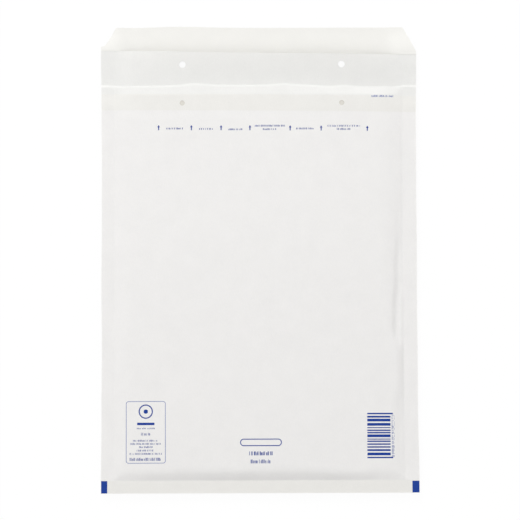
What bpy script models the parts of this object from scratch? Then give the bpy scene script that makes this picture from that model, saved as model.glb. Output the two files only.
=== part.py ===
# Padded envelope, empty and unused, lying open on its back.
# Two sheets of white kraft paper are joined along three sides. Each is lined with bubble film.
# The back sheet is longer: its lip carries the closing adhesive under a release strip.
# Axes: +X to the right, +Y from the bottom seam to the lip, +Z up. The origin is under the middle.

import bmesh
import bpy

# Outline of the flat bag
WIDTH = 0.250
FRONT_LENGTH = 0.350          # bottom edge to the mouth edge of the front sheet
LIP = 0.020                   # how far the back sheet runs past the mouth edge
SIDE_SEAM = 0.010
BOTTOM_SEAM = 0.010
DRAW_IN = 0.0011              # each side of the padded body is pulled in by this much
DRAW_IN_RUN = 0.060           # over which the pull fades at the bottom and at the mouth
MOUTH_SKEW = 0.0009           # the mouth edge is cut this much higher at the left, lower at the right

# Corners cut off the lip: they are not alike on the two sides
LEFT_CUT_START = 0.0045       # past the mouth edge, where a small step runs in
LEFT_CUT_STEP = 0.0023
LEFT_CUT_INSET = 0.0118       # at the tip of the lip
LEFT_CUT_BOW = 0.85           # below 1 the cut is hollow
RIGHT_CUT_START = 0.0008
RIGHT_CUT_INSET = 0.0098
RIGHT_CUT_BOW = 1.25          # above 1 the cut is bellied
TIP_ROUNDING = 0.0012

# Layers
PAPER = 0.00015
FILM = 0.0001                 # bubble film where it is welded flat
PAD = 0.0026                  # bubble film with its bubbles
CAVITY = 0.0044               # free height between the two linings
BOND_GAP = 0.00015            # between layers that are welded or glued
FILM_INSET = 0.0006           # film edge behind the paper edge, in the seams

# How the filled-out bag meets its seams
SEAM_HEIGHT = 0.0027          # underside of the seams above the table
SIDE_SLOPE = 0.014
BOTTOM_SLOPE = 0.013
BACK_SLOPE = 0.012
SIDE_FOLD_DEPTH = 0.0009      # long soft fold beside the right seam
SIDE_FOLD_WIDTH = 0.0035
SIDE_FOLD_INSET = 0.0075      # its middle, inside the seam
SIDE_FOLD_START = 0.020
SIDE_FOLD_END = 0.235

# Closing end, measured back from the mouth edge
CREASE_BACK = 0.025           # pressed fold line of the closing flap
BAND_BACK = 0.034             # upper edge of the band where the film is welded to the sheet
BAND = 0.012
PAD_RUNOUT = 0.008            # over which the bubbles end below the band
BAND_DROP = 0.0009            # below the top of the padded body
CREASE_DROP = 0.0020
MOUTH_RISE = 0.0008           # above the top of the padded body
ARCH_POWER = 3.5              # the mouth stands open in a flat arch
LIP_LIFT = 0.0018             # of the back sheet at the mouth
TIP_LIFT = 0.0008

# Closing strip on the lip
ADHESIVE = 0.0001
RELEASE = 0.0001
STRIP_GAP = 0.0004            # between the mouth edge and the strip
ADHESIVE_MARGIN = 0.002       # bare edge round the adhesive

# Punched holes
HOLE_SPACING = 0.1262
HOLE_SHIFT = 0.0026           # both pairs sit right of the centre line
UPPER_HOLE = 0.0054           # diameters
LOWER_HOLE = 0.0041
UPPER_HOLE_BACK = 0.0095      # back from the mouth edge
LOWER_HOLE_BACK = 0.0403
BACK_HOLE_SHIFT = 0.001       # the arched front sheet lies this much farther back
HOLE_SIDES = 20

# Sizes that follow
HALF_WIDTH = WIDTH / 2
LENGTH = FRONT_LENGTH + LIP
BAG_HALF = HALF_WIDTH - SIDE_SEAM
CREASE_AT = FRONT_LENGTH - CREASE_BACK
BAND_END = FRONT_LENGTH - BAND_BACK
BAND_START = BAND_END - BAND
PAD_END = BAND_START - PAD_RUNOUT
LINING_BACK = PAPER + BOND_GAP
LINING_FLOOR = LINING_BACK + PAD
LINING_CEILING = LINING_FLOOR + CAVITY
FRONT_BASE = LINING_CEILING + PAD + BOND_GAP
FILMS_IN_SEAM = 2 * (FILM + BOND_GAP)
SLOPE_STEPS = 4


def smooth(t):
    """Soft step from 0 to 1."""
    t = min(max(t, 0.0), 1.0)
    return t * t * (3 - 2 * t)


def mix(a, b, t):
    return a + (b - a) * t


def lip_cut(along, start, step, inset, bow):
    """How far the corner cut runs in from the side, at a place along the lip."""
    run = (along - start) / (LIP - start)
    if run <= 0:
        return 0.0
    return step * min(run * LIP / TIP_ROUNDING, 1.0) + (inset - step) * min(run, 1.0) ** bow


def side_inset(s, right):
    """How far the outline lies inside the flat width at a distance s from the bottom edge."""
    pull = smooth((s - BOTTOM_SEAM) / DRAW_IN_RUN) * smooth((FRONT_LENGTH - s) / DRAW_IN_RUN)
    past_mouth = s - FRONT_LENGTH
    if right:
        cut = lip_cut(past_mouth, RIGHT_CUT_START, 0.0, RIGHT_CUT_INSET, RIGHT_CUT_BOW)
    else:
        cut = lip_cut(past_mouth, LEFT_CUT_START, LEFT_CUT_STEP, LEFT_CUT_INSET, LEFT_CUT_BOW)
    rounding = TIP_ROUNDING * max(0.0, 1 - (LENGTH - s) / TIP_ROUNDING) ** 2
    return DRAW_IN * pull + cut + rounding


def inside_seam(c):
    """Distance from the inner line of the side seam to a flat cross position c."""
    return BAG_HALF - abs(c)


def closing_end(s):
    """0 where the front sheet lies on padding, 1 at the mouth."""
    return smooth((s - BAND_START) / (FRONT_LENGTH - BAND_START))


def front_shape(c, s):
    """Share of its full height that the front sheet has: steep sides on the pad, an arch at the mouth."""
    padded = smooth(inside_seam(c) / SIDE_SLOPE)
    arched = max(0.0, 1 - (abs(c) / BAG_HALF) ** ARCH_POWER)
    bottom = smooth((s - BOTTOM_SEAM) / BOTTOM_SLOPE)
    return mix(padded, arched, closing_end(s)) * bottom


def front_drop(s):
    """How far the middle of the front sheet lies below the top of the padded body."""
    if s <= BAND_END:
        return BAND_DROP * smooth((s - PAD_END) / PAD_RUNOUT)
    if s <= CREASE_AT:
        return mix(BAND_DROP, CREASE_DROP, (s - BAND_END) / (CREASE_AT - BAND_END))
    return mix(CREASE_DROP, -MOUTH_RISE, (s - CREASE_AT) / CREASE_BACK)


def side_fold(c, s):
    """Long soft fold in the padding beside the right seam."""
    across = (c - (BAG_HALF - SIDE_FOLD_INSET)) / SIDE_FOLD_WIDTH
    ends = smooth((s - SIDE_FOLD_START) / SIDE_SLOPE) * smooth((SIDE_FOLD_END - s) / SIDE_SLOPE)
    return SIDE_FOLD_DEPTH * max(0.0, 1 - across * across) * ends


def front_seam(s):
    """Underside of the front sheet in the side seams: it drops where the films end."""
    films = FILMS_IN_SEAM * (1 - smooth((s - BAND_END) / (CREASE_AT - BAND_END)))
    return SEAM_HEIGHT + PAPER + BOND_GAP + films


def front_under(c, s):
    """Underside of the front sheet."""
    seam = front_seam(s)
    top = FRONT_BASE - front_drop(s)
    return seam + (top - seam) * front_shape(c, s) - side_fold(c, s)


def back_under(c, s):
    """Underside of the back sheet: flat on the table, up to the seams, and a lifted lip."""
    lift = LIP_LIFT * smooth((s - CREASE_AT) / CREASE_BACK)
    on_lip = smooth((s - FRONT_LENGTH) / LIP)
    middle = mix(lift, TIP_LIFT, on_lip)
    edge = mix(SEAM_HEIGHT, middle, on_lip)
    flat = smooth(inside_seam(c) / BACK_SLOPE) * smooth((s - BOTTOM_SEAM) / BACK_SLOPE)
    return mix(edge, middle, flat)


def pad_share(c, s):
    """0 where a lining is welded flat, 1 where its bubbles are full."""
    sides = smooth(inside_seam(c) / SIDE_SLOPE)
    bottom = smooth((s - BOTTOM_SEAM) / BOTTOM_SLOPE)
    return sides * bottom * smooth((BAND_START - s) / PAD_RUNOUT)


def lining_thickness(c, s):
    return mix(FILM, PAD, pad_share(c, s))


def cross_positions(edge):
    """Flat cross positions of the grid lines, closer together on the slopes at the sides."""
    slope = [BAG_HALF - SIDE_SLOPE * k / SLOPE_STEPS for k in range(SLOPE_STEPS + 1)]
    half = [edge] + slope + [slope[-1] * share for share in (0.85, 0.6, 0.3)]
    return [-c for c in half] + [0.0] + half[::-1]


def body_rows(first):
    """Distances from the bottom edge of the grid lines up to the end of the linings."""
    slope = [BOTTOM_SEAM + BOTTOM_SLOPE * k / SLOPE_STEPS for k in range(SLOPE_STEPS + 1)]
    pad_steps = 6
    pad = [mix(slope[-1], PAD_END, k / pad_steps) for k in range(1, pad_steps + 1)]
    return [first] + slope + pad + [mix(PAD_END, BAND_START, 0.5), BAND_START, BAND_END]


def closing_rows():
    """From the crease to the mouth edge."""
    before = mix(BAND_END, CREASE_AT, 0.5)
    return [before, CREASE_AT] + [CREASE_AT + CREASE_BACK * share for share in (0.2, 0.5, 0.8)]


def lip_rows():
    """From where the release strip starts to the tip of the lip."""
    left = FRONT_LENGTH + LEFT_CUT_START
    step = left + TIP_ROUNDING / 4
    slant = [mix(step, LENGTH - TIP_ROUNDING, share) for share in (0.33, 0.66, 1.0)]
    tip = [LENGTH - TIP_ROUNDING / 3, LENGTH]
    return [FRONT_LENGTH + MOUTH_SKEW + STRIP_GAP, left, step] + slant + tip


def layer(name, edge, rows, under, thickness, material, skew=0.0):
    """One sheet: a triangulated grid laid on its underside and raised by its thickness."""
    columns = cross_positions(edge)
    mesh = bpy.data.meshes.new(name)
    bm = bmesh.new()
    bmesh.ops.create_grid(bm, x_segments=len(columns) - 1, y_segments=len(rows) - 1, size=1.0)
    bmesh.ops.triangulate(bm, faces=bm.faces, quad_method="FIXED")
    places = {}
    for vert in bm.verts:
        c = columns[round((vert.co.x + 1) / 2 * (len(columns) - 1))]
        s = rows[round((vert.co.y + 1) / 2 * (len(rows) - 1))]
        places[vert] = (c, s)
    raised = bmesh.ops.extrude_face_region(bm, geom=list(bm.faces), use_keep_orig=True)
    top_of = {tuple(vert.co): vert for vert in raised["geom"] if isinstance(vert, bmesh.types.BMVert)}
    for vert, (c, s) in places.items():
        top = top_of[tuple(vert.co)]
        x = c * (1 - side_inset(s, c > 0) / HALF_WIDTH)
        y = s - LENGTH / 2 - skew * c / HALF_WIDTH * smooth((s - CREASE_AT) / CREASE_BACK)
        z = under(c, s)
        vert.co = (x, y, z)
        top.co = (x, y, z + thickness(c, s))
    bmesh.ops.recalc_face_normals(bm, faces=bm.faces)
    bm.to_mesh(mesh)
    bm.free()
    mesh.materials.append(material)
    mesh.shade_smooth()
    mesh.set_sharp_from_angle(angle=0.7)
    sheet = bpy.data.objects.new(name, mesh)
    model.objects.link(sheet)
    return sheet


def finish(name, colour, roughness):
    """A plain paper or film finish."""
    material = bpy.data.materials.new(name)
    material.use_nodes = True
    shader = material.node_tree.nodes["Principled BSDF"]
    shader.inputs["Base Color"].default_value = (*colour, 1.0)
    shader.inputs["Roughness"].default_value = roughness
    shader.inputs["Metallic"].default_value = 0.0
    material.diffuse_color = (*colour, 1.0)
    return material


def punch(name, x, s, diameter, low, high):
    """A round punch, used as a cutter only."""
    bpy.ops.mesh.primitive_cylinder_add(
        vertices=HOLE_SIDES, radius=diameter / 2, depth=high - low,
        location=(x, s - LENGTH / 2, (low + high) / 2))
    cutter = bpy.context.object
    cutter.name = name
    cutter.display_type = "WIRE"
    cutter.hide_render = True
    for owner in list(cutter.users_collection):
        owner.objects.unlink(cutter)
    cutters.objects.link(cutter)
    return cutter


def cut(sheet, cutter):
    hole = sheet.modifiers.new(cutter.name, "BOOLEAN")
    hole.operation = "DIFFERENCE"
    hole.solver = "EXACT"
    hole.object = cutter


for old in list(bpy.data.objects):
    bpy.data.objects.remove(old, do_unlink=True)
model = bpy.data.collections.new("padded_envelope")
cutters = bpy.data.collections.new("cutters")
bpy.context.scene.collection.children.link(model)
bpy.context.scene.collection.children.link(cutters)

kraft = finish("white_kraft", (0.86, 0.85, 0.83), 0.85)
film = finish("bubble_film", (0.62, 0.74, 0.80), 0.3)
glue = finish("adhesive", (0.80, 0.76, 0.60), 0.4)
silicone = finish("release_paper", (0.90, 0.90, 0.88), 0.45)

# The two paper sheets
front_rows = body_rows(0.0) + closing_rows() + [FRONT_LENGTH]
back_rows = front_rows + lip_rows()
front_sheet = layer("front_sheet", HALF_WIDTH, front_rows, front_under, lambda c, s: PAPER, kraft,
                    skew=MOUTH_SKEW)
back_sheet = layer("back_sheet", HALF_WIDTH, back_rows, back_under, lambda c, s: PAPER, kraft)

# The two bubble linings, welded into the seams and to a band below the crease
film_edge = HALF_WIDTH - FILM_INSET
layer("front_lining", film_edge, body_rows(FILM_INSET),
      lambda c, s: front_under(c, s) - BOND_GAP - lining_thickness(c, s), lining_thickness, film)
layer("back_lining", film_edge, body_rows(FILM_INSET),
      lambda c, s: back_under(c, s) + LINING_BACK, lining_thickness, film)

# The closing strip on the lip: adhesive, and over it the release paper cut with the lip
glue_rows = [row for row in lip_rows() if row <= LENGTH - TIP_ROUNDING]
glue_under = PAPER + BOND_GAP
strip_under = glue_under + ADHESIVE + BOND_GAP
layer("lip_adhesive", HALF_WIDTH - ADHESIVE_MARGIN, glue_rows, lambda c, s: back_under(c, s) + glue_under,
      lambda c, s: ADHESIVE, glue)
layer("release_strip", HALF_WIDTH, lip_rows(), lambda c, s: back_under(c, s) + strip_under,
      lambda c, s: RELEASE, silicone)

# Two pairs of holes punched through the front sheet, and one pair through the back sheet.
# Behind the lower pair of the front sheet the welded film stays whole.
middle = (LINING_FLOOR + LINING_CEILING) / 2
above = FRONT_BASE + MOUTH_RISE + PAPER + CAVITY
for side, x in (("left", HOLE_SHIFT - HOLE_SPACING / 2), ("right", HOLE_SHIFT + HOLE_SPACING / 2)):
    upper_at = FRONT_LENGTH - UPPER_HOLE_BACK
    lower_at = FRONT_LENGTH - LOWER_HOLE_BACK
    cut(front_sheet, punch(f"upper_punch_{side}", x, upper_at, UPPER_HOLE, middle, above))
    cut(front_sheet, punch(f"lower_punch_{side}", x, lower_at, LOWER_HOLE, middle, above))
    cut(back_sheet, punch(f"back_punch_{side}", x, upper_at + BACK_HOLE_SHIFT, UPPER_HOLE, -PAD, middle))
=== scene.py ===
# Padded envelope of white kraft paper, empty and unused, lying open on its back.
# +X is to the right and +Y runs from the bottom seam to the lip. Sizes are in metres.
import math
import random

import bmesh
import bpy
from mathutils import Matrix, Vector, noise


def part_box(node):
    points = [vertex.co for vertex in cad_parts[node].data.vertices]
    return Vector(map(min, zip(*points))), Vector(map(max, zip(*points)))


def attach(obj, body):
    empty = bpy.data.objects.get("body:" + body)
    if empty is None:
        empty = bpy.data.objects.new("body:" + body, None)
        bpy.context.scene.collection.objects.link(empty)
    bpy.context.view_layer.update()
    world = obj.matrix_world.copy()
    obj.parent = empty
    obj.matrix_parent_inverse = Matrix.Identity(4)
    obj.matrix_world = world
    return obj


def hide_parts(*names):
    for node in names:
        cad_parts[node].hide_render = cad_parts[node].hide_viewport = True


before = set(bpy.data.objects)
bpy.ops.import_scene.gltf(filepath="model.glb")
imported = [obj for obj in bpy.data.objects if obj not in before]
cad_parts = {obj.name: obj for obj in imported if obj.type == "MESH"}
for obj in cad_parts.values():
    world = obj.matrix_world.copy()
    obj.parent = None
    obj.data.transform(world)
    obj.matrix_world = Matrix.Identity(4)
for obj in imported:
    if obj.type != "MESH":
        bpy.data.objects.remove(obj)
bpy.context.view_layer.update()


# Front sheet
# The printed web of white kraft, 250 x 350 mm, welded to the back one along the sides and the bottom.
# It is crowned over the bubble film, and was once pressed over along the crease of the closing flap.
# A place on the flat web is given by c, across it from the middle, and s, up from the bottom edge.
back_low, back_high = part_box("back_sheet")
front_low, front_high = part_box("front_sheet")
HALF_WIDTH = back_high.x
BOTTOM = back_low.y
LENGTH = back_high.y - back_low.y
CAD_SKEW = 0.0009
MOUTH = front_high.y - BOTTOM - CAD_SKEW
LIP = LENGTH - MOUTH
SEAM = 0.010
BAG_HALF = HALF_WIDTH - SEAM
DRAW_IN = 0.0008
LEFT_DRAW_IN = 0.0006
LEFT_TRIM = 0.0003
DRAW_IN_RUN = 0.060


def smooth(t):
    t = min(max(t, 0.0), 1.0)
    return t * t * (3 - 2 * t)


def ease(t, power):
    """Steep at first, then levelling out."""
    return 1 - (1 - min(max(t, 0.0), 1.0)) ** power


def swell(t):
    """Steep for longer than ease, then levelling out in a bend."""
    t = min(max(t, 0.0), 1.0)
    return 2 * t - 2 * t ** 3 + t ** 4


def softer_of(a, b):
    """The smaller of two shares, with the ridge between them rounded."""
    width = max(0.3 * max(a, b), 1e-6)
    return min(a, b) - width / 4 * max(0.0, 1 - abs(a - b) / width) ** 2


def mix(a, b, t):
    return a + (b - a) * t


def wander(amount, step, *place):
    """A soft random value between about -amount and amount that changes over a distance of step."""
    spot = [value / step for value in place] + [0.37, 0.61]
    return 2 * amount * noise.noise(Vector(spot[:3]))


def along(points, s):
    """The value at s on a line through listed (s, value) points, rounded at each of them."""
    for (s0, v0), (s1, v1) in zip(points, points[1:]):
        if s <= s1:
            return mix(v0, v1, smooth((s - s0) / (s1 - s0)))
    return points[-1][1]


def line_at(points, s, reach=0.0):
    """The same with straight runs between the points, averaged over a reach so that the bends are soft."""
    total = 0.0
    for k in (-2, -1, 0, 1, 2):
        at = min(max(s + k * reach / 2, points[0][0]), points[-1][0])
        for (s0, v0), (s1, v1) in zip(points, points[1:]):
            if at <= s1:
                total += mix(v0, v1, (at - s0) / (s1 - s0))
                break
    return total / 5


def lip_cut(past_mouth, start, step, inset, bow, rounding=0.0012):
    """How far a corner cut of the lip runs in from the side."""
    run = (past_mouth - start) / (LIP - start)
    if run <= 0:
        return 0.0
    return step * min(run * LIP / rounding, 1.0) + (inset - step) * min(run, 1.0) ** bow


def side_inset(s, right):
    """How far the cut edge lies inside the flat width."""
    drawn = smooth((s - SEAM) / DRAW_IN_RUN) * smooth((MOUTH - s) / DRAW_IN_RUN)
    ripple = wander(0.00015, 0.045, s, 3.0 if right else 9.0) * smooth((MOUTH - s) / 0.02)
    if right:
        pull = DRAW_IN * drawn
        cut = lip_cut(s - MOUTH, start=-0.0005, step=0.0, inset=0.0106, bow=1.12)
    else:
        pull = LEFT_DRAW_IN * drawn + LEFT_TRIM * smooth((MOUTH - s) / 0.3)
        cut = lip_cut(s - MOUTH, start=0.0045, step=0.0023, inset=0.0118, bow=0.85)
    tip_rounding = 0.0007
    corner = tip_rounding * max(0.0, 1 - (LENGTH - s) / tip_rounding) ** 2
    return max(pull + ripple, 0.0) + cut + corner


def across(c, s):
    """From the place on the flat web to the real one: the padded body draws its sides in."""
    return c * (1 - side_inset(s, c > 0) / HALF_WIDTH)


def flat_place(x, s):
    """The other way round: which place on the web ends up at x."""
    return x / (1 - side_inset(s, x > 0) / HALF_WIDTH)


def stations(*runs):
    """Grid lines: each run is a start, an end and the step between them."""
    lines = [runs[0][0]]
    for start, end, step in runs:
        count = max(1, round((end - start) / step))
        lines += [mix(start, end, k / count) for k in range(1, count + 1)]
    return lines


def lay_grid(name, columns, rows, place):
    """A sheet as one grid of faces, each crossing of the given lines moved to its place."""
    bm = bmesh.new()
    bmesh.ops.create_grid(bm, x_segments=len(columns) - 1, y_segments=len(rows) - 1, size=1.0)
    for vert in bm.verts:
        c = columns[round((vert.co.x + 1) / 2 * (len(columns) - 1))]
        s = rows[round((vert.co.y + 1) / 2 * (len(rows) - 1))]
        vert.co = place(c, s)
    return as_object(name, bm)


def as_object(name, bm):
    mesh = bpy.data.meshes.new(name)
    bm.to_mesh(mesh)
    bm.free()
    made = bpy.data.objects.new(name, mesh)
    bpy.context.scene.collection.objects.link(made)
    return made


def settle(piece):
    """Puts the result of the modifiers into the mesh and shades it, with its cut edges sharp."""
    graph = bpy.context.evaluated_depsgraph_get()
    mesh = bpy.data.meshes.new_from_object(piece.evaluated_get(graph))
    piece.modifiers.clear()
    piece.data = mesh
    mesh.shade_smooth()
    mesh.set_sharp_from_angle(angle=math.radians(50))


def thicken(piece, thickness):
    """Gives a sheet its thickness, below the surface that was laid."""
    wall = piece.modifiers.new("thickness", "SOLIDIFY")
    wall.thickness = thickness
    wall.offset = -1.0


def punch(piece, low, high, *holes):
    """Round holes through a sheet, each given by x, s and diameter."""
    bm = bmesh.new()
    for x, s, diameter in holes:
        middle = Matrix.Translation((x, BOTTOM + s, (low + high) / 2))
        bmesh.ops.create_cone(bm, cap_ends=True, segments=40, radius1=diameter / 2,
                              radius2=diameter / 2, depth=high - low, matrix=middle)
    cutter = as_object("hole_punch", bm)
    hole = piece.modifiers.new("hole", "BOOLEAN")
    hole.object = cutter
    settle(piece)
    bpy.data.objects.remove(cutter)


class Field:
    """A number that varies over a surface. Arithmetic on it adds Math nodes."""

    def __init__(self, finish, socket):
        self.finish = finish
        self.socket = socket

    def math(self, operation, *values):
        return self.finish.node("ShaderNodeMath", {"operation": operation}, dict(enumerate(values)))

    def __add__(self, other):
        return self.math("ADD", self, other)

    def __sub__(self, other):
        return self.math("SUBTRACT", self, other)

    def __rsub__(self, other):
        return self.math("SUBTRACT", other, self)

    def __mul__(self, other):
        return self.math("MULTIPLY", self, other)

    __radd__ = __add__
    __rmul__ = __mul__

    def step(self, edge, soft):
        """0 below the edge and 1 above it, changing over a soft width."""
        return self.finish.node(
            "ShaderNodeMapRange", {"interpolation_type": "SMOOTHSTEP"},
            {"Value": self, "From Min": edge - soft / 2, "From Max": edge + soft / 2})


class Finish:
    """One procedural material. Its patterns are read from the place on the object."""

    def __init__(self, name, roughness=0.5):
        self.material = bpy.data.materials.new(name)
        self.material.use_nodes = True
        self.nodes = self.material.node_tree.nodes
        self.links = self.material.node_tree.links
        self.shader = self.nodes["Principled BSDF"]
        self.shader.inputs["Roughness"].default_value = roughness
        self.place = self.node("ShaderNodeTexCoord", output="Object")

    def node(self, kind, settings=None, inputs=None, output=0):
        made = self.nodes.new(kind)
        for name, value in (settings or {}).items():
            setattr(made, name, value)
        for name, value in (inputs or {}).items():
            self.plug(made.inputs[name], value)
        return Field(self, made.outputs[output])

    def plug(self, socket, value):
        if isinstance(value, Field):
            self.links.new(value.socket, socket)
        else:
            socket.default_value = value

    def axis(self, name):
        return self.node("ShaderNodeSeparateXYZ", inputs={"Vector": self.place}, output=name)

    def speckle(self, size, detail=2.0, stretch=(1.0, 1.0, 1.0), turn=0.0):
        """Soft noise between 0 and 1 whose patches are about the given size."""
        spot = self.node("ShaderNodeMapping", inputs={
            "Vector": self.place, "Rotation": (0.0, 0.0, turn), "Scale": stretch})
        return self.node("ShaderNodeTexNoise", inputs={
            "Vector": spot, "Scale": 1 / size, "Detail": detail, "Roughness": 0.55})

    def blend(self, first, second, share):
        return self.node("ShaderNodeMix", {"data_type": "RGBA"}, {0: share, 6: first, 7: second}, output=2)

    def bump(self, height, depth):
        relief = self.node("ShaderNodeBump", inputs={"Height": height, "Distance": depth, "Strength": 1.0})
        self.plug(self.shader.inputs["Normal"], relief)

    def let_light_through(self, colour, share):
        """Mixes in a shader that passes light on to the other side."""
        through = self.node("ShaderNodeBsdfTranslucent", inputs={"Color": colour})
        surface = self.node("ShaderNodeMixShader", inputs={
            0: share, 1: Field(self, self.shader.outputs[0]), 2: through})
        self.links.new(surface.socket, self.nodes["Material Output"].inputs["Surface"])


def colour(red, green, blue):
    """A colour written as the eye sees it, from 0 to 255, as the linear one that a shader takes."""
    linear = [((v / 255 + 0.055) / 1.055) ** 2.4 for v in (red, green, blue)]
    return (*linear, 1.0)


CREASE = MOUTH - 0.0267
BAND_END = MOUTH - 0.0348
BAND_START = BAND_END - 0.0130
FILM_SKEW = 0.009
PAPER_TRANSLUCENCY = 0.22


def paper_grain(finish):
    """Fibres and clouds, the same in every paper of the bag."""
    fibres = finish.speckle(0.0007, detail=4.0, stretch=(1.0, 0.35, 1.0), turn=0.4)
    cross_fibres = finish.speckle(0.0006, detail=3.0, stretch=(0.3, 1.0, 1.0), turn=-0.7)
    clouds = finish.speckle(0.012, detail=3.0)
    finish.bump(fibres * 0.6 + cross_fibres * 0.4, 0.0001)
    finish.plug(finish.shader.inputs["Roughness"], clouds * 0.12 + 0.62)
    return fibres * 0.65 + clouds * 0.35


def kraft_finish():
    """White kraft. It looks warmer where film is welded behind it; past the film's end, where nothing is
    behind it, it is painted greyer as painted shade.
    """
    kraft = Finish("white_kraft")
    grain = paper_grain(kraft)
    up = kraft.axis("Y")
    # The film was welded on a little askew
    askew = up + kraft.axis("X") * FILM_SKEW
    lined = kraft.blend(colour(253, 252, 251), colour(238, 237, 236), grain)
    welded = kraft.blend(colour(249, 248, 245), colour(235, 234, 230), grain)
    # Past the end of the film, over the flap and the lip, the paper is painted a few levels greyer: painted
    # shade for the slope of the flap
    bare_painted_shade = kraft.blend(colour(249, 249, 247), colour(235, 235, 233), grain)
    film_edge = askew.step(BOTTOM + BAND_START, 0.0012)
    film_end = askew.step(BOTTOM + BAND_END, 0.0006)
    bottom_weld = 1 - up.step(BOTTOM + SEAM, 0.0008)
    shade = kraft.blend(lined, welded, film_edge)
    # The painted shade begins where the film ends
    shade = kraft.blend(shade, bare_painted_shade, film_end)
    shade = kraft.blend(shade, welded, bottom_weld)
    kraft.plug(kraft.shader.inputs["Base Color"], shade)
    kraft.let_light_through(colour(246, 244, 240), PAPER_TRANSLUCENCY)
    return kraft.material


white_kraft = kraft_finish()


PAPER = 0.00015
FILM = 0.0001
WELD_GAP = 0.00004
BODY_HEIGHT = front_high.z - 0.0011
CROWN = 0.0015
SIDE_SLOPE = 0.020
CORNER_SLOPE = 0.009
BOTTOM_SLOPE = 0.0125
SEAM_HEIGHT = 0.0042
CREASE_SEAM_HEIGHT = 0.0029
MOUTH_SEAM_HEIGHT = 0.0039
MOUTH_HEIGHT = front_high.z - 0.0002

# Height of the front along its middle, from where the body is fullest to the end of the film: (s, z)
FULLEST = 0.190
LOWER_FALL = 0.0017
BODY_LINE = [(FULLEST, BODY_HEIGHT), (BAND_START - 0.008, 0.0089), (BAND_START, 0.00875), (BAND_END, 0.0085)]
CREASE_FALL = 0.0010
CREASE_FALL_RIGHT = 0.0013
FOLD_FALL = 0.00055
FOLD_WIDTH = 0.0015
# The pressed crease wanders along the flap: (c, distance from CREASE)
CREASE_LINE = [(-0.125, 0.0003), (-0.110, -0.0002), (-0.096, -0.0004), (-0.075, -0.0005), (-0.061, 0.0002),
               (-0.053, 0.0012), (-0.044, 0.0009), (-0.035, 0.0), (-0.022, -0.0001), (-0.008, -0.0003),
               (0.006, 0.0), (0.020, 0.0011), (0.030, 0.0002), (0.039, -0.0002), (0.056, -0.0012),
               (0.069, -0.0003), (0.079, -0.0013), (0.094, -0.0014), (0.106, -0.0013), (0.117, -0.0004),
               (0.125, -0.0004)]

# Where the padding is pinched beside the right weld: (s, place across) and (s, depth) from the bottom up
PINCH_LINE = [(0.010, 0.1135), (0.018, 0.1120), (0.031, 0.1110), (0.038, 0.1095), (0.065, 0.1098),
              (0.083, 0.1120), (0.113, 0.1125), (0.1245, 0.1074), (0.129, 0.1084), (0.148, 0.1086),
              (0.169, 0.1106), (0.178, 0.1090), (0.184, 0.1105), (0.205, 0.1107), (0.232, 0.1097)]
PINCH_DEPTH = [(0.010, 0.0), (0.016, 0.0002), (0.040, 0.0003), (0.065, 0.0003), (0.085, 0.0002),
               (0.113, 0.0003), (0.1225, 0.0011), (0.128, 0.0013), (0.150, 0.0012), (0.172, 0.0009),
               (0.190, 0.0008), (0.208, 0.0003), (0.232, 0.0)]
WELD_SIDE_WIDTH = 0.0050
PINCH_WIDTH = [(0.010, 0.004), (0.065, 0.0045), (0.128, 0.0045), (0.232, 0.0035)]
# The padding's edge slopes down to the right weld more steeply in places: (s, width of the slope)
RIGHT_SLOPE = [(0.010, 0.009), (0.020, 0.013), (0.045, 0.014), (0.068, 0.012), (0.086, 0.0085),
               (0.112, 0.0085), (0.128, 0.016), (0.200, 0.020)]


def inside_seam(c):
    return BAG_HALF - abs(c)


def seam_height(s):
    """Underside of the back web in the welds: half way up the bag, lower where they end at the mouth."""
    if s < CREASE:
        return mix(SEAM_HEIGHT, CREASE_SEAM_HEIGHT, smooth((s - BAND_START) / (CREASE - BAND_START)))
    return mix(CREASE_SEAM_HEIGHT, MOUTH_SEAM_HEIGHT, smooth((s - CREASE) / (MOUTH - CREASE)))


def front_seam(s):
    """Top of the front web in the side welds: it drops where the films end."""
    films = 2 * (FILM + WELD_GAP) * (1 - smooth((s - BAND_END) / (CREASE - BAND_END)))
    return seam_height(s) + PAPER + WELD_GAP + films + PAPER


def front_middle(c, s):
    """Height of the front web without its crown."""
    crease = CREASE + along(CREASE_LINE, c)
    film_end = BODY_LINE[-1][1]
    fold_start = crease - FOLD_WIDTH
    fall = CREASE_FALL + CREASE_FALL_RIGHT * smooth(c / BAG_HALF)
    if s <= FULLEST:
        return BODY_HEIGHT - LOWER_FALL * ((FULLEST - s) / (FULLEST - SEAM)) ** 2.4
    if s <= BAND_END:
        return along(BODY_LINE, s)
    if s <= fold_start:
        return film_end - fall * (s - BAND_END) / (fold_start - BAND_END)
    if s <= crease:
        return film_end - fall - FOLD_FALL * (s - fold_start) / FOLD_WIDTH
    rise = (s - crease) / (MOUTH - crease)
    return mix(film_end - fall - FOLD_FALL, MOUTH_HEIGHT, rise ** 1.35)


def front_shape(c, s):
    """Share of its full height that the front web has."""
    slope = along(RIGHT_SLOPE, s) if c > 0 else mix(CORNER_SLOPE, SIDE_SLOPE, smooth((s - SEAM) / 0.05))
    foot = smooth(inside_seam(c) / 0.003) if c > 0 else 1.0
    padded = ease(inside_seam(c) / slope, 1.7) * foot
    arched = max(0.0, 1 - (abs(c) / BAG_HALF) ** 3.2) * smooth(inside_seam(c) / 0.016)
    closing = smooth((s - BAND_START) / (MOUTH - BAND_START))
    run = BOTTOM_SLOPE * (1 + wander(0.22, 0.03, c, 2.0))
    return softer_of(mix(padded, arched, closing), swell((s - SEAM) / run))


def pinch(c, s):
    """Depth of the pinched line: one slope down to it from the padding, and one from the weld."""
    off = c - line_at(PINCH_LINE, s, reach=0.006)
    width = along(PINCH_WIDTH, s) if off < 0 else WELD_SIDE_WIDTH
    return along(PINCH_DEPTH, s) * (1 - smooth(abs(off) / width))


# A short raised wrinkle in the right weld beside the closing flap: (s, place across)
WRINKLE = [(0.322, 0.1213), (0.329, 0.1196), (0.336, 0.1160), (0.345, 0.1142)]


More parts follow.
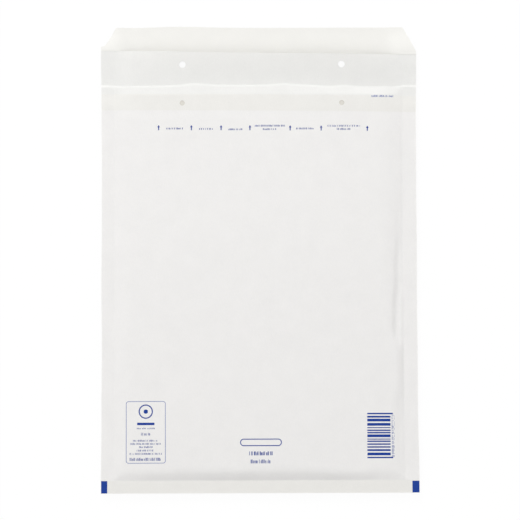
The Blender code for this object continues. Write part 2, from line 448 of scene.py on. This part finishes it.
def raised(c, s):
    """The crease as it crosses the welds, where the paper can only be pressed up, and the wrinkle."""
    fold_start = CREASE + along(CREASE_LINE, c) - FOLD_WIDTH
    if s < fold_start:
        ridge = smooth((s - fold_start + 0.007) / 0.007)
    else:
        ridge = max(0.0, 1 - (s - fold_start) / FOLD_WIDTH)
    ridge *= 1 - smooth(inside_seam(c) / 0.012)
    off = abs(c - line_at(WRINKLE, s, reach=0.004))
    wrinkle = (1 - smooth(off / 0.0018)) * smooth((s - 0.323) / 0.006) * smooth((0.345 - s) / 0.006)
    return FOLD_FALL * ridge + 0.0003 * wrinkle


def cockle(c, s):
    """Slight unevenness of paper over bubbles, fading towards the welds."""
    soft = wander(0.00016, 0.055, c, s) + wander(0.00004, 0.016, c, s)
    return soft * smooth(inside_seam(c) / 0.03) * smooth((s - SEAM) / 0.03)


def weld_ripple(c, s):
    """Heat draws the welded edges of both webs into short shallow waves."""
    return wander(0.00007, 0.009, s, c) * smooth(-inside_seam(c) / 0.004) * smooth((MOUTH - s) / 0.02)


def front_top(c, s):
    """Upper surface of the front sheet."""
    seam = front_seam(s)
    crown = CROWN * (abs(c) / 0.095) ** 2.2 * smooth((MOUTH - s) / (MOUTH - BAND_START))
    rise = front_middle(c, s) - crown - seam
    height = seam + rise * front_shape(c, s) + cockle(c, s) - pinch(c, s)
    return height + weld_ripple(c, s) + raised(c, s)


# The mouth edge is cut a little askew and not quite straight: (c, distance past MOUTH)
MOUTH_LINE = [(-0.125, 0.0011), (-0.095, 0.0006), (-0.060, -0.0005), (-0.030, -0.0014), (0.0, -0.0018),
              (0.050, -0.0024), (0.090, -0.0027), (0.125, -0.0027)]


def mouth_shift(c):
    return wander(0.0001, 0.03, c, 8.0) + line_at(MOUTH_LINE, c, reach=0.02)


def front_place(c, s):
    shift = mouth_shift(c) * smooth((s - CREASE) / (MOUTH - CREASE))
    return Vector((across(c, s), BOTTOM + s + shift, front_top(c, s)))


LEFT_HOLES, RIGHT_HOLES = 0.0026 - 0.0631, 0.0026 + 0.0631
UPPER_HOLE_AT = MOUTH - 0.0106
LOWER_HOLE_AT = MOUTH - 0.0415
UPPER_HOLE = 0.0054
LOWER_HOLE = 0.0041
INSIDE = 0.0055
ABOVE = front_high.z + 0.01

pad_half = BAG_HALF - SIDE_SLOPE
web_columns = stations((-HALF_WIDTH, -BAG_HALF, 0.0012), (-BAG_HALF, -pad_half, 0.0012),
                       (-pad_half, pad_half, 0.003), (pad_half, BAG_HALF, 0.0006),
                       (BAG_HALF, HALF_WIDTH, 0.0008))
front_rows = stations((0.0, SEAM - 0.0012, 0.002), (SEAM - 0.0012, SEAM, 0.0004), (SEAM, 0.024, 0.0007),
                      (0.024, BAND_START - 0.009, 0.0018), (BAND_START - 0.009, CREASE - 0.004, 0.0009),
                      (CREASE - 0.004, CREASE + 0.002, 0.0003), (CREASE + 0.002, MOUTH, 0.0012))
front_sheet = lay_grid("front_paper", web_columns, front_rows, front_place)
thicken(front_sheet, PAPER)
punch(front_sheet, INSIDE, ABOVE,
      (LEFT_HOLES, UPPER_HOLE_AT, UPPER_HOLE), (RIGHT_HOLES, UPPER_HOLE_AT, UPPER_HOLE),
      (LEFT_HOLES, LOWER_HOLE_AT, LOWER_HOLE), (RIGHT_HOLES, LOWER_HOLE_AT, LOWER_HOLE))
front_sheet.data.materials.append(white_kraft)
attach(front_sheet, "root")
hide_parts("front_sheet")


# Back sheet
# The longer web, 250 x 370 mm. It lies flat on the table, rises to the welds, and ends in the closing lip,
# whose corners are cut off. Two holes behind the upper pair of the front sheet.
LIP_LIFT = 0.0018
TIP_LIFT = 0.0008
TIP_EDGE_LIFT = 0.0018
BACK_SLOPE = 0.015
# The lip's end isn't cut quite straight: (c, distance past its nominal length)
TIP_LINE = [(-0.125, 0.0), (-0.106, 0.0), (-0.094, 0.0003), (-0.078, 0.0008), (-0.058, 0.0007),
            (-0.031, 0.0), (0.0, -0.0003), (0.125, -0.0003)]


def back_top(c, s):
    """Upper surface of the back sheet."""
    lift = LIP_LIFT * smooth((s - CREASE) / (MOUTH - CREASE))
    on_lip = smooth((s - MOUTH) / LIP)
    middle = mix(lift, TIP_LIFT, on_lip)
    edge = mix(seam_height(min(s, MOUTH)), TIP_EDGE_LIFT, on_lip)
    flat = smooth(inside_seam(c) / BACK_SLOPE) * smooth((s - SEAM) / BOTTOM_SLOPE)
    return mix(edge, middle, flat) + PAPER + weld_ripple(c, s)


def back_place(c, s):
    cut = along(TIP_LINE, c) * smooth((s - MOUTH) / LIP)
    x = across(c, s)
    return Vector((x, BOTTOM + s + cut, back_top(x if s > MOUTH else c, s)))


back_columns = stations((-HALF_WIDTH, -BAG_HALF, 0.0025), (-BAG_HALF, BAG_HALF, 0.0025),
                        (BAG_HALF, HALF_WIDTH, 0.0025))
lip_rows = stations((MOUTH, MOUTH + 0.0045, 0.0008), (MOUTH + 0.0045, MOUTH + 0.006, 0.0003),
                    (MOUTH + 0.006, LENGTH - 0.0015, 0.001), (LENGTH - 0.0015, LENGTH, 0.0003))
back_rows = stations((0.0, 0.028, 0.002), (0.028, CREASE, 0.005), (CREASE, MOUTH, 0.0012)) + lip_rows[1:]
back_sheet = lay_grid("back_paper", back_columns, back_rows, back_place)
thicken(back_sheet, PAPER)
punch(back_sheet, -INSIDE, INSIDE, (LEFT_HOLES, UPPER_HOLE_AT + 0.001, UPPER_HOLE),
      (RIGHT_HOLES, UPPER_HOLE_AT + 0.001, UPPER_HOLE))
back_sheet.data.materials.append(white_kraft)
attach(back_sheet, "root")
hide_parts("back_sheet")


# Bubble film
# Each web is lined with clear film of 10 mm air bubbles that face into the bag. It is welded flat in
# the seams and along a band below the crease, where it ends. The heat has turned that band milky, and
# it shows through the lower pair of holes.
FILM_INSET = 0.0006
PAD = 0.0026
BUBBLE_PITCH = 0.0112
BUBBLE_RADIUS = 0.0048
BUBBLE_SEGMENTS = 12
BUBBLE_COLUMNS = 11
LEAST_BUBBLE = 0.35
# A bubble from its foot to its top: share of its radius and share of its height
BUBBLE_OUTLINE = [(1.0, 0.0), (0.98, 0.5), (0.86, 0.82), (0.55, 0.96), (0.22, 1.0)]


def pad_share(c, s):
    """0 where the film is welded flat, 1 where its bubbles are full."""
    sides = smooth(inside_seam(c) / SIDE_SLOPE)
    return sides * smooth((s - SEAM) / BOTTOM_SLOPE) * smooth((BAND_START - s) / 0.008)


def one_bubble():
    """A bubble as wide and as tall as 1, with its foot on the film."""
    bm = bmesh.new()
    ring = bmesh.ops.create_circle(bm, cap_ends=True, segments=BUBBLE_SEGMENTS, radius=1.0)["verts"]
    face = ring[0].link_faces[0]
    for (r0, z0), (r1, z1) in zip(BUBBLE_OUTLINE, BUBBLE_OUTLINE[1:]):
        made = bmesh.ops.extrude_face_region(bm, geom=[face])["geom"]
        face = next(item for item in made if isinstance(item, bmesh.types.BMFace))
        bmesh.ops.scale(bm, vec=(r1 / r0, r1 / r0, 1.0), verts=face.verts)
        bmesh.ops.translate(bm, vec=(0.0, 0.0, z1 - z0), verts=face.verts)
    bmesh.ops.recalc_face_normals(bm, faces=bm.faces)
    mesh = bpy.data.meshes.new("bubble")
    bm.to_mesh(mesh)
    bm.free()
    return mesh


def blow_bubbles(film, film_place, facing):
    """Adds the bubbles. Facing is 1 where they stand up from the film and -1 where they hang down."""
    bm = bmesh.new()
    bm.from_mesh(film.data)
    bubble = one_bubble()
    row_pitch = BUBBLE_PITCH * math.sqrt(3) / 2
    for row in range(int((BAND_START - SEAM) / row_pitch)):
        for column in range(-BUBBLE_COLUMNS, BUBBLE_COLUMNS + 1):
            c = (column + 0.5 * (row % 2)) * BUBBLE_PITCH
            s = SEAM + (row + 0.5) * row_pitch
            share = pad_share(c, s)
            if share < LEAST_BUBBLE:
                continue
            before = len(bm.verts)
            bm.from_mesh(bubble)
            bm.verts.ensure_lookup_table()
            for vert in bm.verts[before:]:
                foot_c = c + vert.co.x * BUBBLE_RADIUS
                foot_s = s + facing * vert.co.y * BUBBLE_RADIUS
                along_film = film_place(foot_c, foot_s)
                height = facing * vert.co.z * (PAD - FILM) * share - FILM / 2
                vert.co = along_film + Vector((0.0, 0.0, height))
    bm.to_mesh(film.data)
    bm.free()
    bpy.data.meshes.remove(bubble)
    film.data.shade_smooth()
    film.data.set_sharp_from_angle(angle=math.radians(60))


def film_finish():
    """Clear polyethylene: faintly blue, glossy, and slightly wrinkled."""
    film = Finish("bubble_film")
    creases = film.speckle(0.004, detail=3.0)
    clear = film.blend(colour(236, 243, 247), colour(246, 250, 251), creases)
    welded = film.axis("Y").step(BOTTOM + BAND_START - 0.001, 0.002)
    film.plug(film.shader.inputs["Base Color"], film.blend(clear, colour(214, 211, 203), welded))
    film.plug(film.shader.inputs["Roughness"], creases * 0.15 + welded * 0.3 + 0.12)
    film.plug(film.shader.inputs["Alpha"], welded * 0.8 + 0.12)
    film.bump(creases, 0.0002)
    return film.material


def front_film_place(c, s):
    """Under the front sheet. Where that is pinched, the film hangs a little free of it."""
    off = abs(c - line_at(PINCH_LINE, s, reach=0.006))
    slack = 1.2 * along(PINCH_DEPTH, s) * (1 - smooth((off - 0.003) / 0.005))
    return front_place(c, s) - Vector((0.0, 0.0, PAPER + WELD_GAP + slack))


def back_film_place(c, s):
    return Vector((across(c, s), BOTTOM + s, back_top(c, s) + WELD_GAP + FILM))


bubble_film = film_finish()
film_columns = stations((-HALF_WIDTH + FILM_INSET, -BAG_HALF, 0.0025), (-BAG_HALF, -pad_half, 0.0025),
                        (-pad_half, pad_half, 0.005), (pad_half, BAG_HALF, 0.0012),
                        (BAG_HALF, HALF_WIDTH - FILM_INSET, 0.0025))
film_rows = stations((FILM_INSET, SEAM, 0.0015), (SEAM, 0.024, 0.0010), (0.024, BAND_START - 0.009, 0.003),
                     (BAND_START - 0.009, BAND_END, 0.002))
for name, node, film_place, facing in (("front_bubble_film", "front_lining", front_film_place, -1),
                                       ("back_bubble_film", "back_lining", back_film_place, 1)):
    film = lay_grid(name, film_columns, film_rows, film_place)
    thicken(film, FILM)
    settle(film)
    blow_bubbles(film, film_place, facing)
    film.data.materials.append(bubble_film)
    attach(film, "root")
    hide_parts(node)


# Closing strip
# Permanent adhesive on the lip, and over all of it a strip of siliconised paper, cut off with the lip.
STRIP = 0.0001
GLUE = 0.0001


def glue_finish():
    glue = Finish("adhesive", roughness=0.35)
    blotches = glue.speckle(0.003, detail=2.0)
    glue.plug(glue.shader.inputs["Base Color"],
              glue.blend(colour(243, 240, 226), colour(238, 234, 216), blotches))
    glue.bump(blotches, 0.00004)
    return glue.material


def release_finish():
    """Smoother than the kraft and a little warmer, with a slight shine."""
    release = Finish("release_paper")
    grain = paper_grain(release)
    release.plug(release.shader.inputs["Base Color"],
                 release.blend(colour(249, 248, 245), colour(243, 242, 238), grain))
    release.plug(release.shader.inputs["Roughness"], grain * 0.1 + 0.42)
    release.let_light_through(colour(246, 246, 242), PAPER_TRANSLUCENCY)
    return release.material


def on_lip(height, clear, waves=0.0):
    """Places on top of the lip, so far above the back sheet and so far clear of the mouth edge."""
    def place(c, s):
        near_mouth = 1 - smooth((s - MOUTH) / 0.004)
        loose = waves * abs(wander(0.00012, 0.02, c, s)) * smooth((s - MOUTH) / LIP)
        shifted = s + (mouth_shift(c) + clear) * near_mouth
        return back_place(c, shifted) + Vector((0.0, 0.0, height + loose))
    return place


glue_columns = [-HALF_WIDTH + 0.002] + back_columns[1:-1] + [HALF_WIDTH - 0.002]
lip_adhesive = lay_grid("adhesive_strip", glue_columns, lip_rows[:-5], on_lip(WELD_GAP + GLUE, 0.0008))
thicken(lip_adhesive, GLUE)
settle(lip_adhesive)
lip_adhesive.data.materials.append(glue_finish())
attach(lip_adhesive, "root")
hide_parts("lip_adhesive")

release_strip = lay_grid("release_paper_strip", back_columns, lip_rows,
                         on_lip(2 * WELD_GAP + GLUE + STRIP, 0.00015, waves=1.0))
thicken(release_strip, STRIP)
settle(release_strip)
release_strip.data.materials.append(release_finish())
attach(release_strip, "root")
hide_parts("release_strip")


# Print
# One blue ink on the front sheet: register marks on the bottom corners, small arrows over the opening line,
# a framed panel, plain bars where a name would stand, and invented bars in the place of a bar code.
INK = 0.00002
INK_SLICE = 0.003


def ink_finish(name, shade):
    """Flexographic ink, a little uneven where the paper grain shows through."""
    ink = Finish(name)
    grain = ink.speckle(0.0006, detail=3.0)
    ink.plug(ink.shader.inputs["Base Color"], ink.blend(shade, colour(62, 90, 168), grain.step(0.68, 0.2)))
    ink.plug(ink.shader.inputs["Roughness"], grain * 0.2 + 0.5)
    ink.shader.inputs["Specular IOR Level"].default_value = 0.15
    return ink.material


def bar(bm, left, right, low, high):
    """A plain rectangle of ink."""
    shape = Matrix.Translation(((left + right) / 2, (low + high) / 2, 0)) @ Matrix.Diagonal(
        (right - left, high - low, 1, 1))
    return bmesh.ops.create_grid(bm, x_segments=1, y_segments=1, size=0.5, matrix=shape)["verts"]


def rounded_bar(bm, left, right, low, high, radius):
    verts = bar(bm, left, right, low, high)
    bmesh.ops.bevel(bm, geom=verts, offset=radius, segments=5, profile=0.5, affect="VERTICES", material=-1)


def ring(bm, x, s, radius, line):
    """A circle line."""
    spot = Matrix.Translation((x, s, 0))
    verts = bmesh.ops.create_circle(bm, cap_ends=True, segments=40, radius=radius, matrix=spot)["verts"]
    hollow_out(bm, verts[0].link_faces[0], line)


def hollow_out(bm, face, line):
    """Leaves only a line of the given width along the edge of a face."""
    bmesh.ops.inset_region(bm, faces=[face], thickness=line, use_boundary=True, use_even_offset=True)
    bmesh.ops.delete(bm, geom=[face], context="FACES")


def framed(bm, left, right, low, high, radius, line):
    before = set(bm.faces)
    rounded_bar(bm, left, right, low, high, radius)
    hollow_out(bm, next(face for face in bm.faces if face not in before), line)


def arrow(bm, x, s):
    """A small arrow that points to the mouth: a head on a short shaft."""
    spot = Matrix.Translation((x, s + 0.0010, 0))
    bmesh.ops.create_circle(bm, cap_ends=True, segments=3, radius=0.0012, matrix=spot)
    bar(bm, x - 0.0004, x + 0.0004, s - 0.0019, s + 0.0008)


def greeked(bm, left, right, s, height, dice, upright=True, bold=1.0):
    """Small print as a row of plain strokes with gaps between words. It spells nothing."""
    at = left
    while at < right - 0.0004:
        stroke = bold * dice.choice((0.00028, 0.00028, 0.0005))
        tall = height * dice.choice((0.75, 1.0, 1.0))
        if upright:
            bar(bm, at, min(at + stroke, right), s - height / 2, s - height / 2 + tall)
        else:
            bar(bm, s - height / 2, s - height / 2 + tall, at, min(at + stroke, right))
        at += stroke + dice.choice((0.0003, 0.0003, 0.0004, 0.0010))


def print_on(name, draw, material):
    """Draws flat shapes, cuts them into small pieces and lays them on the front sheet."""
    bm = bmesh.new()
    draw(bm)
    for axis, low, high in ((0, -HALF_WIDTH, HALF_WIDTH), (1, 0.0, MOUTH)):
        for k in range(1, int((high - low) / INK_SLICE)):
            spot, normal = Vector((0, 0, 0)), Vector((0, 0, 0))
            spot[axis] = low + k * INK_SLICE
            normal[axis] = 1.0
            bmesh.ops.bisect_plane(bm, geom=bm.verts[:] + bm.edges[:] + bm.faces[:],
                                   plane_co=spot, plane_no=normal, dist=1e-7)
    bmesh.ops.recalc_face_normals(bm, faces=bm.faces)
    for face in bm.faces:
        if face.normal.z < 0:
            face.normal_flip()
    for vert in bm.verts:
        x, s = vert.co.x, vert.co.y
        vert.co = Vector((x, BOTTOM + s, front_top(flat_place(x, s), s) + INK))
    ink = as_object(name, bm)
    thicken(ink, INK / 2)
    settle(ink)
    ink.data.materials.append(material)
    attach(ink, "root")


blue_ink = ink_finish("blue_ink", colour(24, 58, 140))
pale_ink = ink_finish("pale_blue_ink", colour(96, 112, 168))


# The print stands a little askew on the web
PRINT_SKEW = 0.006


def corner_marks(bm):
    edge = HALF_WIDTH - 0.0002
    bar(bm, -edge + 0.0004, -edge + 0.0052, 0.0001, 0.0098)
    bar(bm, edge - 0.0055, edge, 0.0001, 0.0093)


OPENING_LINE = 0.2883
ARROWS = [-0.0792, -0.0533, -0.0298, -0.0070, 0.0248, 0.0493, 0.0858]
# Small print between the arrows: left end, right end, and height of its middle above the row's
OPENING_WORDS = [(-0.0731, -0.0596, -0.0006), (-0.0471, -0.0360, -0.0009), (-0.0239, -0.0125, -0.0012),
                 (-0.0032, 0.0210, 0.0017), (0.0033, 0.0148, -0.0010), (0.0296, 0.0437, -0.0004),
                 (0.0545, 0.0802, 0.0019), (0.0617, 0.0727, -0.0006)]


def opening_row(bm):
    for x in ARROWS:
        arrow(bm, x, OPENING_LINE - PRINT_SKEW * x)
    dice = random.Random(3)
    for left, right, rise in OPENING_WORDS:
        greeked(bm, left, right, OPENING_LINE - PRINT_SKEW * left + rise, 0.0014, dice)


def date_code(bm):
    greeked(bm, 0.0892, 0.1072, 0.3138, 0.0016, random.Random(9))


PANEL_FALL = 0.0006
PANEL = (-0.1049, -0.0738, 0.0240 - PANEL_FALL, 0.0727 - PANEL_FALL)


def panel_frame(bm):
    framed(bm, *PANEL, radius=0.002, line=0.0004)


def panel_marks(bm):
    middle = (PANEL[0] + PANEL[1]) / 2
    ring(bm, middle, 0.0646 - PANEL_FALL, 0.0056, 0.0009)
    rounded_bar(bm, middle - 0.0016, middle + 0.0016, 0.0630 - PANEL_FALL, 0.0662 - PANEL_FALL, 0.0012)
    bar(bm, middle - 0.0068, middle + 0.0068, 0.0540 - PANEL_FALL, 0.0559 - PANEL_FALL)


# Lines of small print in the panel: half their width, height of their middle, and letter height
PANEL_LINES = [(0.0070, 0.0514, 0.0010), (0.0037, 0.0470, 0.0022), (0.0100, 0.0418, 0.0014),
               (0.0120, 0.0393, 0.0014), (0.0052, 0.0368, 0.0014), (0.0070, 0.0341, 0.0014),
               (0.0127, 0.0315, 0.0014), (0.0127, 0.0272, 0.0024)]


def panel_print(bm):
    middle = (PANEL[0] + PANEL[1]) / 2
    dice = random.Random(5)
    for half, s, height in PANEL_LINES:
        greeked(bm, middle - half, middle + half, s - PANEL_FALL, height, dice)


def name_place(bm):
    framed(bm, -0.0155, 0.0172, 0.0366, 0.0424, radius=0.0028, line=0.0007)


def size_place(bm):
    dice = random.Random(11)
    greeked(bm, -0.0083, 0.0102, 0.0309, 0.0030, dice, bold=1.6)
    greeked(bm, -0.0072, 0.0091, 0.0246, 0.0030, dice, bold=1.4)


CODE_LEFT, CODE_RIGHT, CODE_LOW, CODE_HIGH = 0.0842, 0.1024, 0.0269, 0.0624
CODE_MODULES = 95
CODE_MODULE = (CODE_HIGH - CODE_LOW) / CODE_MODULES
END_BAR_EXTRA = 0.0019


def code_bars(bm):
    """Bars of invented widths, which encode nothing, with longer ones at both ends."""
    dice = random.Random(21)
    at = 0
    while at < CODE_MODULES - 1:
        wide = dice.choice((2, 3, 4, 6))
        end = at < 3 or at > 90
        low = CODE_LOW + at * CODE_MODULE
        high = min(low + wide * CODE_MODULE * 0.95, CODE_HIGH)
        bar(bm, CODE_LEFT, CODE_RIGHT + (END_BAR_EXTRA if end else 0.0), low, high)
        at += wide + dice.choice((2, 3, 3))


def code_strokes(bm):
    dice = random.Random(4)
    greeked(bm, CODE_LOW + 0.001, CODE_HIGH - 0.001, CODE_RIGHT + 0.0020, 0.0022, dice, upright=False)


for name, draw, material in (
        ("print_corner_marks", corner_marks, blue_ink),
        ("print_opening_row", opening_row, blue_ink),
        ("print_date_code", date_code, pale_ink),
        ("print_panel_frame", panel_frame, pale_ink),
        ("print_panel_marks", panel_marks, blue_ink),
        ("print_panel_lines", panel_print, blue_ink),
        ("print_name_place", name_place, blue_ink),
        ("print_size_place", size_place, blue_ink),
        ("print_code_bars", code_bars, blue_ink),
        ("print_code_strokes", code_strokes, pale_ink)):
    print_on(name, draw, material)


# Table
# A white table top. It looks white to the camera but still carries part of the envelope's shadow.
TABLE_GLOW = 0.96


def table_finish():
    table = Finish("white_table", roughness=0.9)
    table.shader.inputs["Base Color"].default_value = colour(250, 250, 250)
    ray = table.nodes.new("ShaderNodeLightPath")
    seen = Field(table, ray.outputs["Is Camera Ray"])
    glow = table.node("ShaderNodeEmission", inputs={"Color": (1.0, 1.0, 1.0, 1.0), "Strength": 1.0})
    surface = table.node("ShaderNodeMixShader", inputs={
        0: seen * TABLE_GLOW, 1: Field(table, table.shader.outputs[0]), 2: glow})
    table.links.new(surface.socket, table.nodes["Material Output"].inputs["Surface"])
    return table.material


table_bm = bmesh.new()
bmesh.ops.create_grid(table_bm, x_segments=1, y_segments=1, size=6.0,
                      matrix=Matrix.Translation((0, 0, -0.0001)))
table_top = as_object("table_top", table_bm)
table_top.data.materials.append(table_finish())


# Light
# Even white light from all round, and one large soft lamp beyond the lip, a little to the left.
AMBIENT = 0.80
LAMP_LEVEL = 0.333
LAMP_AT = Vector((-0.75, 2.50, 1.96))
LAMP_SIZE = 1.5

world = bpy.data.worlds.new("white_room")
world.use_nodes = True
bpy.context.scene.world = world
sky = world.node_tree.nodes["Background"]
sky.inputs["Color"].default_value = (1.0, 1.0, 1.0, 1.0)
ray = world.node_tree.nodes.new("ShaderNodeLightPath")
seen = world.node_tree.nodes.new("ShaderNodeMath")
seen.operation = "MAXIMUM"
world.node_tree.links.new(ray.outputs["Is Camera Ray"], seen.inputs[0])
world.node_tree.links.new(ray.outputs["Is Glossy Ray"], seen.inputs[1])
level = world.node_tree.nodes.new("ShaderNodeMapRange")
level.inputs["To Min"].default_value = AMBIENT
level.inputs["To Max"].default_value = 1.0
world.node_tree.links.new(seen.outputs[0], level.inputs["Value"])
world.node_tree.links.new(level.outputs[0], sky.inputs["Strength"])

lamp_data = bpy.data.lights.new("soft_lamp", "AREA")
lamp_data.shape = "SQUARE"
lamp_data.size = LAMP_SIZE
# The power that lights a flat white surface at the origin to the wanted level
lamp_data.energy = LAMP_LEVEL * math.pi ** 2 * LAMP_AT.length_squared * LAMP_AT.length / LAMP_AT.z
lamp = bpy.data.objects.new("soft_lamp", lamp_data)
lamp.location = LAMP_AT
lamp.rotation_euler = LAMP_AT.to_track_quat("Z", "Y").to_euler()
bpy.context.scene.collection.objects.link(lamp)


# Camera
# Far above the envelope with a long lens, tilted a little so that the lip is farther away than the bottom.
PICTURE = 520
METRES_A_PIXEL = 0.0007885
DISTANCE = 2.87
TILT = math.radians(6.5)
ROLL = math.radians(0.2)
AIM = Vector((0.0006, -0.0013, 0.004))

camera_data = bpy.data.cameras.new("camera")
camera_data.sensor_width = 36.0
camera_data.lens = camera_data.sensor_width * DISTANCE / (PICTURE * METRES_A_PIXEL)
camera_data.clip_end = 20.0
camera = bpy.data.objects.new("camera", camera_data)
turn = Matrix.Rotation(TILT, 4, "X") @ Matrix.Rotation(-ROLL, 4, "Z")
camera.matrix_world = Matrix.Translation(AIM) @ turn @ Matrix.Translation((0, 0, DISTANCE))
bpy.context.scene.collection.objects.link(camera)
bpy.context.scene.camera = camera

bpy.context.scene.view_settings.view_transform = "Standard"
